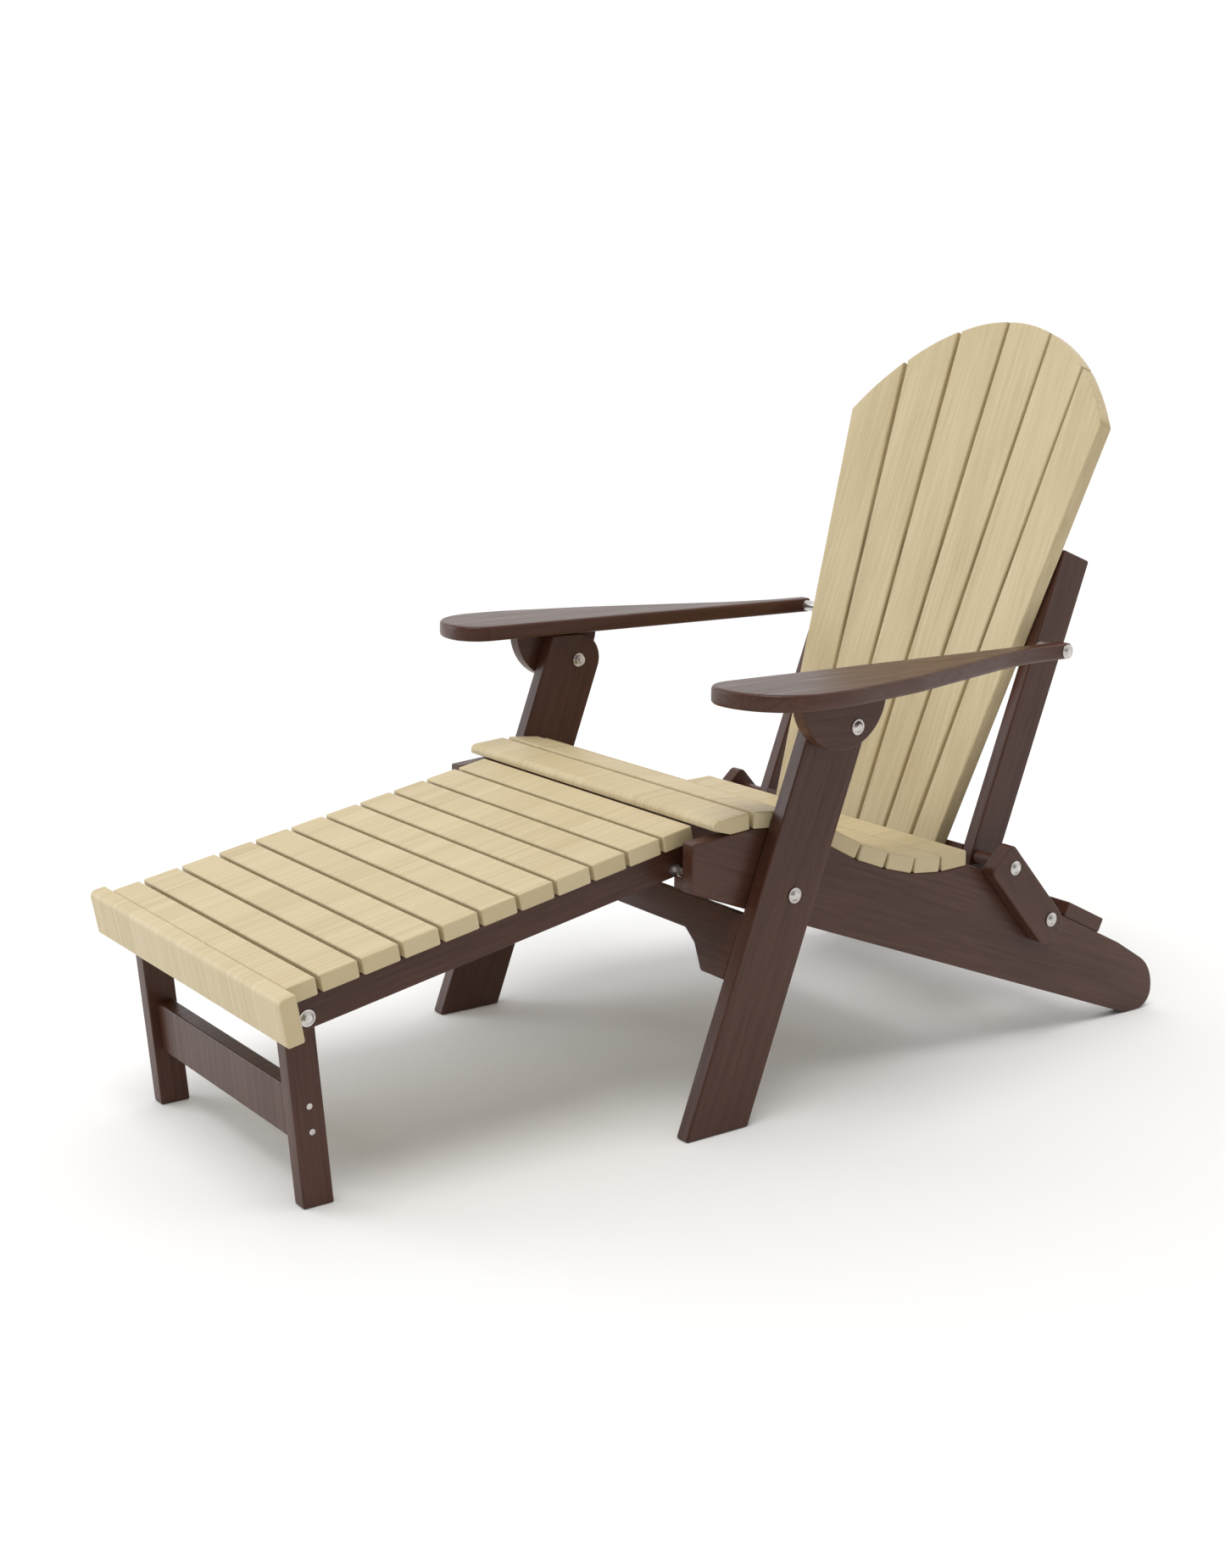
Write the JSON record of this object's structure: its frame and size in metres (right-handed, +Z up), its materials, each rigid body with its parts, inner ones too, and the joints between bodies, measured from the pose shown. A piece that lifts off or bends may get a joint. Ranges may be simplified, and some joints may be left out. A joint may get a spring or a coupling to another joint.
{
  "type": "adirondack chair",
  "caption": "Folding slatted adirondack chair with a fanned back, broad arms and a pull-out ottoman on its own folding legs.",
  "frame": {"origin": "bottom centre of the bounding box, on the ground", "axes": "+Z up, chair faces -Y with the ottoman on that side, +X is the sitter's left"},
  "size_m": [0.862, 1.5894, 1.1049],
  "materials": {
    "tan_board": "brushed wood-grain plastic lumber, tan",
    "brown_board": "brushed wood-grain plastic lumber, chestnut brown",
    "steel": "stainless steel"
  },
  "bodies": {
    "seat": {"stringer_left": "brown_board", "stringer_right": "brown_board", "seat_slat_1": "tan_board", "seat_slat_2": "tan_board", "seat_slat_3": "tan_board", "seat_slat_4": "tan_board", "seat_slat_5": "tan_board", "seat_slat_6": "tan_board", "seat_slat_7": "tan_board", "seat_slat_8": "tan_board", "rear_cross_board": "brown_board", "ottoman_guide_left": "brown_board", "ottoman_guide_right": "brown_board", "leg_pivot_bolts": "steel", "link_lower_bolts": "steel"},
    "front_legs": {"front_leg_left": "brown_board", "front_leg_right": "brown_board", "apron": "brown_board"},
    "arms": {"arm_left": "brown_board", "arm_right": "brown_board", "arm_bracket_left": "brown_board", "arm_bracket_right": "brown_board", "arm_bolts": "steel"},
    "links": {"link_left": "brown_board", "link_right": "brown_board", "link_upper_bolts": "steel", "link_spacers": "brown_board"},
    "back": {"upright_left": "brown_board", "upright_right": "brown_board", "back_rail_lower": "brown_board", "back_rail_middle": "brown_board", "back_rail_upper": "brown_board", "back_slat_1": "tan_board", "back_slat_2": "tan_board", "back_slat_3": "tan_board", "back_slat_4": "tan_board", "back_slat_5": "tan_board", "back_slat_6": "tan_board", "back_screws": "steel"},
    "glides": {"glide_pins": "steel"},
    "ottoman": {"ottoman_slat_1": "tan_board", "ottoman_slat_2": "tan_board", "ottoman_slat_3": "tan_board", "ottoman_slat_4": "tan_board", "ottoman_slat_5": "tan_board", "ottoman_slat_6": "tan_board", "ottoman_slat_7": "tan_board", "ottoman_slat_8": "tan_board", "ottoman_slat_9": "tan_board", "ottoman_slat_10": "tan_board", "ottoman_slat_11": "tan_board", "ottoman_fascia": "tan_board", "ottoman_rail_left": "brown_board", "ottoman_rail_right": "brown_board", "ottoman_leg_bolts": "steel"},
    "ottoman_legs": {"ottoman_leg_left": "brown_board", "ottoman_leg_right": "brown_board", "ottoman_stretcher": "brown_board", "stretcher_screws": "steel"}
  },
  "joints": [
    {"name": "fold", "type": "hinge", "parent": "seat", "child": "front_legs", "pos_m": [0, -0.02527, 0.325], "axis": [1, 0, 0], "range_deg": [0, 86.66]},
    {"name": "arm_pivot", "type": "hinge", "parent": "front_legs", "child": "arms", "pos_m": [0, 0.05773, 0.558], "axis": [1, 0, 0], "range_deg": [-83, 0]},
    {"name": "link_pivot", "type": "hinge", "parent": "seat", "child": "links", "pos_m": [0, 0.50713, 0.2026], "axis": [1, 0, 0], "range_deg": [-31, 0]},
    {"name": "back_pivot", "type": "hinge", "parent": "links", "child": "back", "pos_m": [0, 0.41953, 0.2979], "axis": [1, 0, 0], "range_deg": [0, 104]},
    {"name": "ottoman_slide", "type": "slide", "parent": "seat", "child": "glides", "axis": [0, 0.936, -0.3519], "range_m": [0, 0.095]},
    {"name": "ottoman_tilt", "type": "hinge", "parent": "glides", "child": "ottoman", "pos_m": [0, -0.1748, 0.36615], "axis": [1, 0, 0], "range_deg": [-28, 0]},
    {"name": "ottoman_leg_fold", "type": "hinge", "parent": "ottoman", "child": "ottoman_legs", "pos_m": [0, -0.73937, 0.26243], "axis": [1, 0, 0], "range_deg": [0, 95]}
  ],
  "couplings": [
    {"joint": "arm_pivot", "follows": "fold", "ratio": -0.9267},
    {"joint": "link_pivot", "follows": "fold", "ratio": -0.3466},
    {"joint": "back_pivot", "follows": "fold", "ratio": 1.1775}
  ]
}
